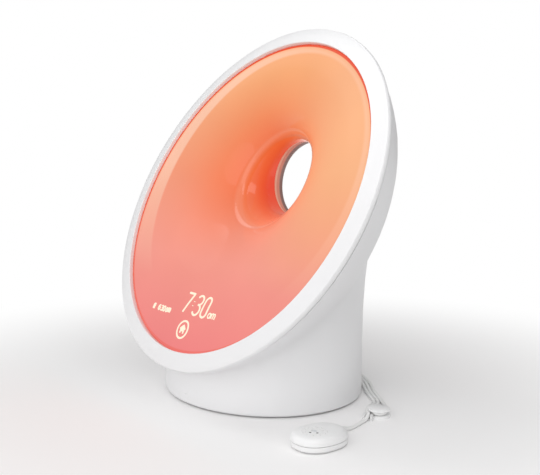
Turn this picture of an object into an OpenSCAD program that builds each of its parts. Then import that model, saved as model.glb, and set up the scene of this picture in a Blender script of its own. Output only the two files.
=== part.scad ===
// Sunrise alarm clock: a tilted light disc with an off-centre hole, on an oval base,
// with a small room sensor that lies on the table on its thin lead.
// Millimetres. The origin is the middle of the base on the table, and the disc faces -Y.

/* [Light disc] */
// Outer diameter of the disc
disc_d = 220; // [210:1:230]
// Lean of the disc back from upright, in degrees
disc_tilt = 27.5; // [24:0.5:31]
// Height of the disc's lowest edge above the table
disc_lift = 23.6; // [22:0.2:26]
// Distance of the disc's centre in front of the base's centre
disc_forward = 18.5; // [16:0.5:21]
// Width of the white ring round the disc
ring_w = 10.2; // [9.6:0.1:12]
// Height of the ring's inner lip above its outer edge
ring_rise = 1.3; // [0.6:0.1:2.5]
// Thickness of the moulded diffuser
diffuser_t = 2; // [1.6:0.1:2.4]

/* [Hole] */
// Diameter of the hole at its narrowest
hole_d = 47; // [42:0.5:50]
// Lean of the hole's axis, in degrees
hole_tilt = 10; // [6:0.5:14]
// Height of the hole's centre above the disc's centre, along the disc
hole_rise = 27; // [24:0.5:29]
// Depth of the hole's narrowest place behind the disc
hole_depth = 39; // [37:0.5:41]
// Widening of the hole's sides at the back of the housing
flare_w = 31; // [26:0.5:33]
// Widening of the hole's top and bottom at the back of the housing
flare_h = 18; // [14:0.5:20]

/* [Base and housing] */
// Width of the base
base_w = 127.8; // [122:0.2:134]
// Depth of the base
base_d = 115; // [111:0.5:119]
// Wall of the rear housing
wall = 2.4; // [2:0.1:2.6]
// Thickness of the base plate
plate_t = 2.4; // [2:0.1:2.8]
// Thickness of the rubber foot
foot_t = 1.6; // [1.2:0.1:1.8]
// Clearance between parts that fit into each other
gap = 0.3; // [0.2:0.05:0.4]

/* [Loudspeaker] */
// Diameter of the loudspeaker's grille
grille_d = 47; // [44:0.5:48]
// Height of the loudspeaker's axis above the table
speaker_z = 50; // [48:0.5:52]
// Diameter of the holes in the grille
grille_hole_d = 2.2; // [1.6:0.1:2.6]

/* [Room sensor] */
// Length of the room sensor
sensor_l = 29.8; // [28:0.2:32]
// Width of the room sensor
sensor_w = 24; // [22.6:0.2:26]
// Height of the room sensor
sensor_h = 8; // [7.6:0.1:9]
// Diameter of the sensor's lead
lead_d = 2.1; // [2:0.05:2.2]
// Diameter of the lead winder's plates
winder_d = 12.4; // [12.2:0.1:13.4]

/* [Hidden] */
$fn = 64;

// Colours
white = [0.93, 0.93, 0.92];
glow = [0.96, 0.62, 0.42];
rubber = [0.25, 0.25, 0.26];
board = [0.10, 0.35, 0.22];
steel = [0.70, 0.70, 0.72];
black = [0.08, 0.08, 0.09];

// Lofted skins: facets round each ring, and rows from end to end
around = 64;
shell_rows = 14;
front_rows = 13;
back_rows = 9;

// Frame of the disc: across, up along the disc, and out of its face
disc_r = disc_d / 2;
ring_r = disc_r - ring_w;
disc_c = [0, -disc_forward, disc_lift + disc_r * cos(disc_tilt)];
across = [1, 0, 0];
up_disc = [0, sin(disc_tilt), cos(disc_tilt)];
out_disc = [0, -cos(disc_tilt), sin(disc_tilt)];

// Frame of the hole: its narrowest place, and its axis towards the front
hole_r = hole_d / 2;
hole_c = disc_c + hole_rise * up_disc - hole_depth * out_disc;
up_hole = [0, sin(hole_tilt), cos(hole_tilt)];
out_hole = [0, -cos(hole_tilt), sin(hole_tilt)];

base_a = base_w / 2;
base_b = base_d / 2;

// Moulded loft shared by the diffuser and the housing: a curve with end directions
function along(p0, d0, p1, d1, t) =
    (2 * pow(t, 3) - 3 * pow(t, 2) + 1) * p0 + (pow(t, 3) - 2 * pow(t, 2) + t) * d0
    + (3 * pow(t, 2) - 2 * pow(t, 3)) * p1 + (pow(t, 3) - pow(t, 2)) * d1;
function ring_angles(n = around) = [for (i = [0 : n - 1]) 360 * i / n];
function radial(a, up) = cos(a) * across + sin(a) * up;
function disc_ring(r, h) = [for (a = ring_angles()) disc_c + r * radial(a, up_disc) + h * out_disc];
function base_ring(inset, z) =
    [for (a = ring_angles()) [(base_a - inset) * cos(a), (base_b - inset) * sin(a), z]];

// Triangles between closed rings of points, row after row; a closed skin joins its last row to its first
function band(rows, n, closed) = [
    for (j = [0 : rows - (closed ? 1 : 2)], i = [0 : n - 1])
        let (a = j * n, b = ((j + 1) % rows) * n, k = (i + 1) % n)
            each [[a + i, a + k, b + k], [a + i, b + k, b + i]]
];
module closed_skin(rings) {
    polyhedron(
        points = [for (r = rings) each r],
        faces = band(len(rings), len(rings[0]), true),
        convexity = 8);
}
module capped_skin(rings) {
    n = len(rings[0]);
    last = (len(rings) - 1) * n;
    polyhedron(
        points = [for (r = rings) each r],
        faces = concat(band(len(rings), n, false), [[for (i = [n - 1 : -1 : 0]) i]],
            [[for (i = [0 : n - 1]) last + i]]),
        convexity = 8);
}

// Places parts in the frames of the disc, the hole and the loudspeaker
module in_disc() translate(disc_c) rotate([90 - disc_tilt, 0, 0]) children();
module in_hole() translate(hole_c) rotate([90 - hole_tilt, 0, 0]) children();
module in_speaker() translate([0, speaker_y, speaker_z]) rotate([90, 0, 0]) children();
module oval(a, b) polygon([for (t = [0 : 5 : 355]) [a * cos(t), b * sin(t)]]);
module tube(r_out, r_in, h) {
    difference() {
        cylinder(r = r_out, h = h);
        translate([0, 0, -1]) cylinder(r = r_in, h = h + 2);
    }
}
module rounded(size, r) {
    linear_extrude(size.z)
        translate([r - size.x / 2, r - size.y / 2])
            offset(r = r, $fn = 24) square([size.x - 2 * r, size.y - 2 * r]);
}

// ---- Rear housing: a loft from the round rim behind the disc to the oval base ----
rim_r = disc_r - 1.2;
rim_h = -4.3;
rim_turn_in = 22;
shell_foot_z = 0.8;
shell_round = 1.8;
function foot_z(a) = 14 + 30 * pow((1 + sin(a)) / 2, 2);
function shell_point(inset, a, t) =
    let (out = radial(a, up_disc),
        rim = disc_c + (rim_r - inset) * out + rim_h * out_disc,
        foot = [(base_a - inset) * cos(a), (base_b - inset) * sin(a), foot_z(a)],
        reach = norm(foot - rim),
        leave = -cos(rim_turn_in) * out_disc - sin(rim_turn_in) * out)
    along(rim, reach * (1.356 - 0.52 * sin(a)) * leave,
        foot, reach * (1.622 + 0.534 * sin(a)) * [0, 0, -1], t);
function shell_ring(inset, t) = [for (a = ring_angles()) shell_point(inset, a, t)];
module outer_form() {
    capped_skin(concat(
        [for (j = [0 : shell_rows]) shell_ring(0, j / shell_rows)],
        [base_ring(0, shell_foot_z + shell_round),
        base_ring(0.3 * shell_round, shell_foot_z + 0.4 * shell_round),
        base_ring(shell_round, shell_foot_z)]));
}
module inner_form() {
    open = 2;
    capped_skin(concat(
        [disc_ring(rim_r - wall, rim_h + open)],
        [for (j = [0 : shell_rows]) shell_ring(wall, j / shell_rows)],
        [base_ring(wall, shell_foot_z - open)]));
}

// The scoop round the hole: a short neck, then a flare out to the back
neck_r = hole_r + 0.9;
neck_l = 7;
seal_t = 0.4;
flare_l = (base_b - hole_c.y) / cos(hole_tilt) - neck_l;
flare_steps = 8;
// Widening from 0 to 1 along the depth: level at first for a length of soft, then a straight slope
function widen(t, soft) = (sqrt(t * t + soft * soft) - soft) / (sqrt(1 + soft * soft) - soft);
function scoop_ring(w, h, z) = [for (a = ring_angles(96)) [w * cos(a), h * sin(a), z]];
module scoop_form(grow, front) {
    function w(t) = neck_r + grow + flare_w * widen(t, 0.03);
    function h(t) = neck_r + grow + flare_h * widen(t, 0.5);
    steps = [for (k = [1 : flare_steps]) pow(k / flare_steps, 1.5)];
    past = 1.12;
    in_hole() capped_skin(concat(
        [scoop_ring(neck_r + grow, neck_r + grow, front),
        scoop_ring(neck_r + grow, neck_r + grow, grow / 2 - neck_l)],
        [for (t = steps) scoop_ring(w(t), h(t), grow / 2 - neck_l - flare_l * t)],
        [for (d = [0, 12]) scoop_ring(w(past), h(past), grow / 2 - neck_l - flare_l * past - d)]));
}

// Loudspeaker seat, port window and screw bosses of the housing
lip_w = 3;
lip_t = 1.6;
grille_t = 1.2;
grille_y = base_b - 5.5;
speaker_y = grille_y - grille_t - lip_t - 1;
ear_r = grille_d / 2 + 3.5;
boss_r = 3.2;
screw_r = 1.2;
pilot_r = screw_r + 0.1;
port_w = 0.407 * base_w;
port_h = 12;
port_z = 14;
port_t = 2;
port_y = base_b - 9.5;
base_boss = [for (s = [[-1, -1], [1, -1], [-1, 1], [1, 1]])
    [s.x * (base_a * 0.66), s.y * (base_b * 0.6)]];
boss_top = 18;
module seat_block() {
    translate([0, speaker_y + 1, speaker_z]) rotate([-90, 0, 0])
        cylinder(r = ear_r + boss_r, h = base_b);
    translate([-port_w / 2 - 3, port_y, port_z - port_h / 2 - 2.4])
        cube([port_w + 6, base_b, port_h + 4.8]);
    for (p = base_boss) translate([p.x, p.y, foot_t + plate_t])
        cylinder(r = boss_r, h = boss_top);
    for (p = base_boss) translate([p.x, p.y, foot_t + plate_t]) rotate([0, 0, atan2(p.y, p.x)])
        translate([0, -0.8, 0]) cube([30, 1.6, boss_top]);
}
module tray_ribs() {
    rib_t = 2;
    rib_h = 4;
    low = -skirt_h - gap - rib_h;
    in_disc() for (i = [0 : 7]) rotate([0, 0, 45 * i + 22.5]) {
        translate([tray_cone_r + 1, -rib_t / 2, low])
            cube([rim_r + 1 - tray_cone_r, rib_t, rib_h]);
        translate([tray_cone_r + 1, -rib_t / 2, low])
            cube([flange_r - tray_cone_r - 1.5, rib_t, tray_top_h - tray_t - 0.1 - low]);
    }
}
module rear_housing() {
    color(white) difference() {
        outer_form();
        difference() {
            inner_form();
            scoop_form(wall, -seal_t);
            seat_block();
            tray_ribs();
        }
        scoop_form(0, 1);
        // Seat of the grille, and the sound opening behind it
        translate([0, grille_y - grille_t, speaker_z]) rotate([-90, 0, 0])
            cylinder(r = grille_d / 2 + gap, h = 20);
        translate([0, speaker_y - 1, speaker_z]) rotate([-90, 0, 0])
            cylinder(r = grille_d / 2 - lip_w, h = 20);
        // Room for the loudspeaker's flange and gasket
        translate([0, speaker_y - 14, speaker_z]) rotate([-90, 0, 0])
            cylinder(r = basket_r + gap, h = 15);
        // Window of the ports
        translate([-port_w / 2, port_y - 1, port_z - port_h / 2])
            cube([port_w, base_b, port_h]);
        for (x = panel_screw_x) translate([x, port_y - 1, port_z]) rotate([-90, 0, 0])
            cylinder(r = pilot_r, h = 3.5, $fn = 24);
        for (a = [45 : 90 : 315]) in_speaker() rotate([0, 0, a]) translate([ear_r, 0, -4])
            cylinder(r = pilot_r, h = 6, $fn = 24);
        for (p = base_boss) translate([p.x, p.y, 0]) cylinder(r = pilot_r, h = 12, $fn = 24);
        // Pinhole low on the front of the base
        translate([2.6, 2 - base_b, 6.8]) rotate([90, 0, 0])
            cylinder(r = 0.45, h = 6, center = true, $fn = 12);
    }
}

// ---- Front ring: slightly conical, with a rear skirt that plugs into the housing ----
ring_t = 2.2;
skirt_r = rim_r - wall - gap;
skirt_t = 2;
skirt_h = 7.2;
module front_ring() {
    edge_h = -1;
    back_h = rim_h + 1;
    color(white) in_disc()
        rotate_extrude($fn = 128) polygon([
            [ring_r, ring_rise - 0.3], [ring_r + 0.3, ring_rise], [disc_r - 1, 0.1],
            [disc_r - 0.3, -0.3], [disc_r, edge_h], [disc_r, back_h + 0.7],
            [disc_r - 0.3, back_h + 0.2], [disc_r - 1, back_h], [skirt_r, back_h],
            [skirt_r, rim_h], [skirt_r - 1.2, -skirt_h], [skirt_r - skirt_t, -skirt_h],
            [skirt_r - skirt_t, -ring_t], [ring_r, -ring_t]]);
}

// ---- Diffuser: an off-centre funnel, lofted from the ring down to the hole ----
face_r = ring_r - 0.5;
face_h = -1;
flange_r = skirt_r - skirt_t - gap;
flange_h = -ring_t - gap;
function funnel_point(r0, h0, r1, a, t) =
    let (out = radial(a, up_disc), edge = radial(a, up_hole),
        start = disc_c + r0 * out + h0 * out_disc,
        end = hole_c + r1 * edge,
        reach = norm(end - start))
    along(start, reach * 1.68 * (0.03 * out_disc - out),
        end, reach * 0.7 * (0.05 * edge - out_hole), t);
function funnel_ring(r0, h0, r1, t) = [for (a = ring_angles()) funnel_point(r0, h0, r1, a, t)];
module light_diffuser() {
    inset = 1.5;
    color(glow) closed_skin(concat(
        [disc_ring(face_r, flange_h), disc_ring(flange_r, flange_h),
        disc_ring(flange_r, flange_h - diffuser_t), disc_ring(face_r - inset, flange_h - diffuser_t)],
        [for (j = [0 : back_rows])
            funnel_ring(face_r - inset, face_h - diffuser_t, hole_r + diffuser_t, j / back_rows)],
        [for (j = [front_rows : -1 : 0]) funnel_ring(face_r, face_h, hole_r, j / front_rows)]));
}
module throat_seal() {
    color(white) in_hole() translate([0, 0, -seal_t + 0.1])
        tube(hole_r + diffuser_t + 3, hole_r + diffuser_t + 0.8, 2);
}

// ---- Light engine behind the diffuser ----
tray_top_h = flange_h - diffuser_t - 0.1;
tray_floor_h = -26;
tray_cone_r = ring_r - 2.8;
tray_floor_r = tray_cone_r - 12;
tray_t = 1.6;
funnel_hole_r = hole_r + 12.5;
funnel_hole_v = hole_rise - 8;
led_board_t = 1.6;
led_count = 36;
led_ring_r = tray_floor_r - 6;
led_arc_r = tray_floor_r - 25;
led_size = [3.5, 2.8, 1.2];
led_screw_count = 6;
led_screw_r = tray_floor_r - 17;
led_screw_l = 5;
post_r = 2.5;
display_v = 27.8 - ring_r;
display_posts = [[-30, display_v + 6], [30, display_v + 6], [-12, display_v - 1], [12, display_v - 1]];
cable_v = display_v + 4;
module funnel_cut(grow, low, high) {
    translate([0, funnel_hole_v, low]) cylinder(r = funnel_hole_r + grow, h = high - low);
    translate([-cable_w / 2 - 1, cable_v - 1.5, low]) cube([cable_w + 2, 3, high - low]);
}
module screw(shaft_l, head_r = 2.4, head_h = 1.6) {
    translate([0, 0, -shaft_l]) cylinder(r = screw_r, h = shaft_l, $fn = 24);
    cylinder(r = head_r, h = head_h, $fn = 24);
}
module reflector_tray() {
    rim = flange_r - 0.5;
    color(white) in_disc() difference() {
        union() {
            rotate_extrude($fn = 96) polygon([
                [rim, tray_top_h], [rim, tray_top_h - tray_t],
                [tray_cone_r, tray_top_h - tray_t],
                [tray_floor_r, tray_floor_h], [20, tray_floor_h], [20, tray_floor_h + tray_t],
                [tray_floor_r - 1, tray_floor_h + tray_t],
                [tray_cone_r - 2, tray_top_h - 0.5], [tray_cone_r - 2, tray_top_h]]);
            for (p = display_posts) translate([p.x, p.y, tray_floor_h])
                cylinder(r = post_r, h = mask_h - display_t - mask_t - tray_floor_h, $fn = 32);
        }
        funnel_cut(0, tray_floor_h - 1, tray_floor_h + 5);
        for (i = [0 : led_screw_count - 1]) rotate([0, 0, 60 * i]) translate([led_screw_r, 0, -40])
            cylinder(r = pilot_r, h = 30, $fn = 24);
    }
}
module led_board() {
    low = tray_floor_h + tray_t;
    color(board) in_disc() difference() {
        translate([0, 0, low]) cylinder(r = tray_floor_r - 3, h = led_board_t, $fn = 96);
        funnel_cut(1, low - 1, low + 5);
        for (i = [0 : led_screw_count - 1]) rotate([0, 0, 60 * i]) translate([led_screw_r, 0, -40])
            cylinder(r = pilot_r + 0.2, h = 30, $fn = 24);
        for (p = display_posts) translate([p.x, p.y, low - 1])
            cylinder(r = post_r + gap, h = 5, $fn = 32);
    }
}
module led_chips() {
    color([0.95, 0.90, 0.60]) in_disc() translate([0, 0, tray_floor_h + tray_t + led_board_t]) {
        for (i = [0 : led_count - 1]) rotate([0, 0, 360 * (i + 0.5) / led_count])
            translate([led_ring_r, 0, led_size.z / 2]) cube(led_size, center = true);
        for (a = [185 : 10 : 355]) rotate([0, 0, a])
            translate([led_arc_r, 0, led_size.z / 2]) cube(led_size, center = true);
    }
}
module heat_spreader() {
    spread_t = 1.5;
    color(steel) in_disc() difference() {
        translate([0, 0, tray_floor_h - spread_t]) cylinder(r = tray_floor_r - 4, h = spread_t, $fn = 96);
        funnel_cut(3, tray_floor_h - 5, tray_floor_h + 1);
        for (i = [0 : led_screw_count - 1]) rotate([0, 0, 60 * i]) translate([led_screw_r, 0, -40])
            cylinder(r = pilot_r + 0.2, h = 30, $fn = 24);
    }
}
module led_screws() {
    color(steel) in_disc() for (i = [0 : led_screw_count - 1]) rotate([0, 0, 60 * i])
        translate([led_screw_r, 0, tray_floor_h + tray_t + led_board_t]) screw(led_screw_l);
}

// ---- Display, behind the lower part of the diffuser ----
mask_h = -8.5;
mask_t = 5;
display_t = 1.6;
display_size = [76, 16];
key_v = display_v - 14;
key_r = 5;
module display_mask() {
    // Middle and width of the window of the alarm row, the time and the half-day mark
    windows = [[-26, 20], [2, 28], [26, 12]];
    shelf = [18, 11, 1.2];
    color(black) in_disc() {
        translate([0, display_v, mask_h - mask_t]) difference() {
            translate([-display_size.x / 2, -display_size.y / 2, 0])
                cube([display_size.x, display_size.y, mask_t]);
            for (w = windows) translate([w.x - w.y / 2, 1.5 - display_size.y / 2, -1])
                cube([w.y, display_size.y - 3, mask_t + 2]);
        }
        translate([-shelf.x / 2, display_v - display_size.y / 2 - shelf.y, mask_h - shelf.z]) cube(shelf);
    }
}
module display_board() {
    color(board) in_disc() translate([0, display_v, mask_h - mask_t - display_t])
        translate([-display_size.x / 2, -display_size.y / 2, 0])
            cube([display_size.x, display_size.y, display_t]);
}
module touch_foil() {
    foil_t = 0.4;
    color([0.75, 0.55, 0.30]) in_disc() translate([0, key_v, mask_h])
        tube(key_r, key_r - 1.4, foil_t);
}

// ---- Electronics in the base ----
plate_top = foot_t + plate_t;
standoff_h = 5;
main_z = plate_top + standoff_h;
main_t = 1.6;
main_size = [76, 44];
main_y = -6;
board_holes = [for (s = [[-1, -1], [1, -1], [-1, 1], [1, 1]])
    [s.x * (main_size.x / 2 - 4), main_y + s.y * (main_size.y / 2 - 4)]];
module main_board() {
    color(board) difference() {
        translate([-main_size.x / 2, main_y - main_size.y / 2, main_z])
            cube([main_size.x, main_size.y, main_t]);
        for (p = board_holes) translate([p.x, p.y, main_z - 1])
            cylinder(r = screw_r + 0.3, h = main_t + 2, $fn = 24);
    }
}
module main_components() {
    top = main_z + main_t;
    // Each chip's place as a share of the board, then its size
    chips = [[-0.29, 0.04, [12, 12, 1.6]], [-0.05, 0.10, [9, 9, 1.4]], [0.18, -0.08, [7, 5, 1.2]],
        [-0.30, -0.36, [12, 4, 5]]];
    cans = [[0.39, 0.07], [0.28, 0.07], [0.39, -0.16]];
    can_r = 3.2;
    can_h = 8;
    function spot(c) = [c[0] * main_size.x, main_y + c[1] * main_size.y, top];
    color(black) {
        for (c = chips) translate(spot(c) + [0, 0, c[2].z / 2]) cube(c[2], center = true);
        for (c = cans) translate(spot(c)) cylinder(r = can_r, h = can_h, $fn = 32);
    }
}
module wireless_module() {
    size = [16, 12, 2.4];
    color(steel) translate([0.16 * main_size.x, main_y + 0.32 * main_size.y, main_z + main_t])
        translate([-size.x / 2, -size.y / 2, 0]) cube(size);
}
module board_screws() {
    color(steel) for (p = board_holes) translate([p.x, p.y, main_z + main_t]) screw(4.5);
}
cable_w = 14;
module display_cable() {
    // Flat cable from the main board, through the slots of the light engine, to the display
    function side(p) = [p.y, p.z];
    function behind(h) = disc_c + cable_v * up_disc + h * out_disc;
    start = [main_y - 0.3 * main_size.y, main_z + main_t];
    slot_in = side(behind(tray_floor_h - 5));
    rise = slot_in - start;
    pts = [start, start + 0.15 * rise - [1, 0], start + 0.5 * rise - [1.6, 0],
        start + 0.75 * rise - [1.2, 0], slot_in, side(behind(mask_h - mask_t - display_t))];
    thick = [0.25, 0.45];
    color(white) translate([-cable_w / 2, 0, 0]) rotate([90, 0, 90]) linear_extrude(cable_w)
        polygon(concat(pts, [for (i = [len(pts) - 1 : -1 : 0]) pts[i] + thick]));
}

// ---- Ports at the back ----
panel_screw_x = [-port_w / 2 - 1.6, port_w / 2 + 1.6];
sensor_x = -0.365 * port_w;
aux_x = -0.135 * port_w;
usb_x = 0.115 * port_w;
dc_x = 0.385 * port_w;
usb_size = [13.2, 5.8];
sensor_size = [8, 3];
dc_r = 4;
aux_r = 3;
jack_r = 1.8;
module socket_body(x, w, depth, h) {
    translate([x - w / 2, port_y - port_t - depth, port_z - h / 2]) cube([w, depth, h]);
}
module nose(x, r) {
    translate([x, port_y, port_z]) rotate([90, 0, 0]) cylinder(r = r, h = port_t, $fn = 48);
}
module slot(x, size, depth, out = 1) {
    translate([x - size.x / 2, port_y - depth, port_z - size.y / 2])
        cube([size.x, depth + out, size.y]);
}
module port_panel() {
    color(white) difference() {
        translate([-port_w / 2 - 3, port_y - port_t, port_z - port_h / 2 - 2.2])
            cube([port_w + 6, port_t, port_h + 4.4]);
        slot(usb_x, usb_size + [2 * gap, 2 * gap], port_t + 1);
        slot(sensor_x, sensor_size + [2 * gap, 2 * gap], port_t + 1);
        translate([dc_x, port_y + 1, port_z]) rotate([90, 0, 0])
            cylinder(r = dc_r + 0.1, h = port_t + 2, $fn = 48);
        translate([aux_x, port_y + 1, port_z]) rotate([90, 0, 0])
            cylinder(r = aux_r + 0.1, h = port_t + 2, $fn = 48);
        for (x = panel_screw_x) translate([x, port_y + 1, port_z]) rotate([90, 0, 0])
            cylinder(r = screw_r + 0.3, h = port_t + 2, $fn = 24);
    }
}
module panel_screws() {
    color(steel) for (x = panel_screw_x)
        translate([x, port_y - port_t, port_z]) rotate([90, 0, 0]) screw(4.5, 2.2, 1.4);
}
module dc_socket() {
    color(black) difference() {
        union() {
            socket_body(dc_x, 9, 12, 9);
            nose(dc_x, dc_r);
        }
        translate([dc_x, port_y + 1, port_z]) rotate([90, 0, 0]) difference() {
            cylinder(r = 2.8, h = 10.5, $fn = 48);
            cylinder(r = 1, h = 10.5, $fn = 32);
        }
    }
}
module usb_socket() {
    color(steel) difference() {
        union() {
            socket_body(usb_x, usb_size.x, 13, usb_size.y);
            slot(usb_x, usb_size, port_t, 0);
        }
        difference() {
            slot(usb_x, usb_size - [1, 1], 13);
            translate([usb_x - 5, port_y - 14, port_z - 0.2]) cube([10, 13, 1.6]);
        }
    }
}
module aux_socket() {
    color(black) difference() {
        union() {
            socket_body(aux_x, 7, 13, 7);
            nose(aux_x, aux_r);
        }
        translate([aux_x, port_y + 1, port_z]) rotate([90, 0, 0])
            cylinder(r = jack_r, h = 13, $fn = 48);
    }
}
module sensor_socket() {
    color(steel) difference() {
        union() {
            socket_body(sensor_x, sensor_size.x, 7, sensor_size.y);
            slot(sensor_x, sensor_size, port_t, 0);
        }
        slot(sensor_x, sensor_size - [0.8, 0.8], 6);
    }
}

// ---- Loudspeaker: its axis is level, and it sounds to the back ----
// Inside the loudspeaker's frame, Z runs from the flange into the lamp
cone_r = 16.9;
coil_r = 6;
coil_z = 9;
coil_l = 9.5;
coil_air = 0.8;
basket_r = grille_d / 2 + 1.5;
basket_t = 1.4;
basket_z = 13;
mouth_r = 19.4;
neck_out_r = 14;
yoke_r = 14.5;
yoke_t = 2.2;
pole_plate_t = 2;
top_plate_z = basket_z + basket_t;
magnet_z = top_plate_z + pole_plate_t;
magnet_h = 6;
magnet_r = 16;
magnet_hole_r = 9;
module speaker_frame() {
    basket_window = [12, 10, 7];
    color(black) in_speaker() difference() {
        union() {
            rotate_extrude() polygon([
                [mouth_r, 0], [basket_r, 0], [basket_r, basket_t], [mouth_r + 1.6, basket_t],
                [neck_out_r, basket_z], [neck_out_r, top_plate_z], [magnet_hole_r, top_plate_z],
                [magnet_hole_r, basket_z], [neck_out_r - 1.2, basket_z], [mouth_r, basket_t]]);
            for (a = [45 : 90 : 315]) rotate([0, 0, a]) hull() {
                translate([ear_r, 0, 0]) cylinder(r = 2.6, h = basket_t, $fn = 32);
                translate([ear_r - 6, 0, 0]) cylinder(r = 3, h = basket_t, $fn = 32);
            }
        }
        for (a = [45 : 90 : 315]) rotate([0, 0, a]) translate([ear_r, 0, -1])
            cylinder(r = screw_r + 0.3, h = basket_t + 2, $fn = 24);
        translate([0, 0, -1]) cylinder(r = mouth_r, h = basket_t + 1);
        for (a = [0 : 60 : 300]) rotate([0, 0, a])
            translate([neck_out_r - 3, -basket_window.y / 2, 4]) cube(basket_window);
    }
}
module speaker_yoke() {
    back = magnet_z + magnet_h;
    color(steel) in_speaker() {
        translate([0, 0, top_plate_z]) tube(yoke_r, coil_r + coil_air, pole_plate_t);
        translate([0, 0, back]) cylinder(r = yoke_r, h = yoke_t);
        translate([0, 0, top_plate_z]) cylinder(r = coil_r - coil_air, h = back - top_plate_z + 0.1);
    }
}
module speaker_magnet() {
    color(rubber) in_speaker() translate([0, 0, magnet_z]) tube(magnet_r, magnet_hole_r, magnet_h);
}
module speaker_cone() {
    skin = 0.5;
    neck_z = coil_z;
    color([0.15, 0.15, 0.16]) in_speaker() rotate_extrude() polygon([
        [0, 5.5], [2.5, 5.8], [4.6, 6.8], [coil_r + 0.4, 8.3], [cone_r - 0.8, 1.6], [cone_r, 1.6],
        [cone_r, 1.6 + skin], [coil_r + 0.4, neck_z], [coil_r - 0.4, neck_z], [4.2, 7.3], [2.2, 6.4],
        [0, 6.1]]);
}
module voice_coil() {
    color([0.72, 0.45, 0.20]) in_speaker()
        translate([0, 0, coil_z]) tube(coil_r + 0.3, coil_r - 0.3, coil_l);
}
module speaker_surround() {
    roll_r = 1.2;
    roll_c = mouth_r - roll_r;
    inner = cone_r + gap;
    color(rubber) in_speaker() rotate_extrude() difference() {
        union() {
            translate([roll_c, 0]) circle(r = roll_r, $fn = 32);
            translate([mouth_r - 1, -0.6]) square([4, 0.6]);
            translate([inner, -0.6]) square([1, 2]);
        }
        translate([roll_c, 0]) circle(r = roll_r - 0.5, $fn = 32);
        translate([inner + 1, 0]) square([1.4, 3]);
    }
}
module speaker_gasket() {
    color(rubber) in_speaker() translate([0, 0, -1])
        tube(grille_d / 2 + 1, grille_d / 2 - 0.6, 1);
}
module speaker_grille() {
    pitch = 3.6;
    reach = grille_d / 2 - 2.6;
    n = floor(reach / pitch) + 1;
    color(white) translate([0, grille_y - grille_t, speaker_z]) rotate([-90, 0, 0]) difference() {
        cylinder(r = grille_d / 2, h = grille_t);
        for (i = [-n : n], j = [-n : n])
            let (x = pitch * (i + j / 2), y = pitch * sqrt(3) / 2 * j)
                if (norm([x, y]) < reach)
                    translate([x, y, -1]) cylinder(r = grille_hole_d / 2, h = grille_t + 2, $fn = 16);
    }
}
module speaker_screws() {
    color(steel) in_speaker() for (a = [45 : 90 : 315]) rotate([0, 0, a])
        translate([ear_r, 0, 1.4]) screw(4.6, 2.2, 1.4);
}

// ---- Base plate and foot ----
module base_plate() {
    inset = wall + gap;
    color(white) difference() {
        union() {
            translate([0, 0, foot_t]) linear_extrude(plate_t) oval(base_a - inset, base_b - inset);
            for (p = board_holes) translate([p.x, p.y, plate_top])
                cylinder(r = 3, h = standoff_h, $fn = 32);
        }
        for (p = board_holes) translate([p.x, p.y, plate_top + 1])
            cylinder(r = pilot_r, h = standoff_h, $fn = 24);
        for (p = base_boss) translate([p.x, p.y, foot_t - 1]) {
            cylinder(r = screw_r + 0.3, h = plate_t + 2, $fn = 24);
            cylinder(r = 2.8, h = 2.2, $fn = 32);
        }
    }
}
module foot_pad() {
    color(rubber) linear_extrude(foot_t) oval(base_a - 6, base_b - 6);
}
module base_screws() {
    color(steel) for (p = base_boss) translate([p.x, p.y, foot_t + 1.2]) mirror([0, 0, 1])
        screw(7, 2.4, 1.1);
}

// ---- Room sensor: an oval puck of two shells ----
sensor_c = [95.65, -38.6, 0];
seam_z = 3.6;
sensor_wall = 1.4;
sensor_low = 0.5;
lens_r = 1.5;
lens_c = sensor_c + [0.1, -3.3, seam_z];
puck_around = 48;
// Outline between an oval and a rounded oblong
function squarish(u) = sign(u) * pow(abs(u), 2 / 2.3);
function puck_ring(inset, z) = [for (a = ring_angles(puck_around)) sensor_c
    + [(sensor_w / 2 - inset) * squarish(cos(a)), (sensor_l / 2 - inset) * squarish(sin(a)), z]];
module puck(inset) {
    top = sensor_h - inset;
    low = sensor_low + inset;
    // Edge from the crowned top down the side to the foot: how far in, and at what height
    edge = [[6.5, top], [2.5, top - 0.3], [1.2, top - 0.75], [0.4, top - 1.5], [0, top - 2.6],
        [0, low + 1.1], [0.3, low + 0.4], [1, low]];
    capped_skin([for (e = edge) puck_ring(inset + e[0], e[1])]);
}
module half_space(above) {
    translate(sensor_c + [-40, -40, above ? seam_z + 0.15 : seam_z - 80.15]) cube(80);
}
module sensor_top_shell() {
    color(white) difference() {
        intersection() {
            puck(0);
            half_space(true);
        }
        puck(sensor_wall);
        translate(lens_c) {
            cylinder(r = lens_r + 0.1, h = sensor_h, $fn = 32);
            for (k = [0 : 1], i = [0 : 11]) rotate([0, 0, 30 * i + 15 * k])
                translate([4.7 + 1.6 * k, 0, 0]) cylinder(r = 0.4, h = sensor_h, $fn = 12);
            for (a = [-82, -15]) rotate([0, 0, a])
                translate([3.2, 0, 0]) cylinder(r = 0.5, h = sensor_h, $fn = 16);
        }
        sensor_entry(1.9);
    }
}
module sensor_bottom_shell() {
    color(white) difference() {
        intersection() {
            puck(0);
            half_space(false);
        }
        puck(sensor_wall);
        sensor_entry(1.9);
    }
}
module sensor_board() {
    board_t = 1;
    color(board) translate(sensor_c + [0, -1.4, seam_z + 0.2 - board_t]) linear_extrude(board_t)
        oval(0.39 * sensor_w, 0.34 * sensor_l);
}
module sensor_lens() {
    color([0.85, 0.87, 0.90]) translate(lens_c + [0, 0, 0.2])
        cylinder(r = lens_r, h = sensor_h - seam_z - 0.4, $fn = 32);
}
module sensor_foot() {
    color(rubber) translate(sensor_c) linear_extrude(sensor_low) oval(0.38 * sensor_w, 0.4 * sensor_l);
}
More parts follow.
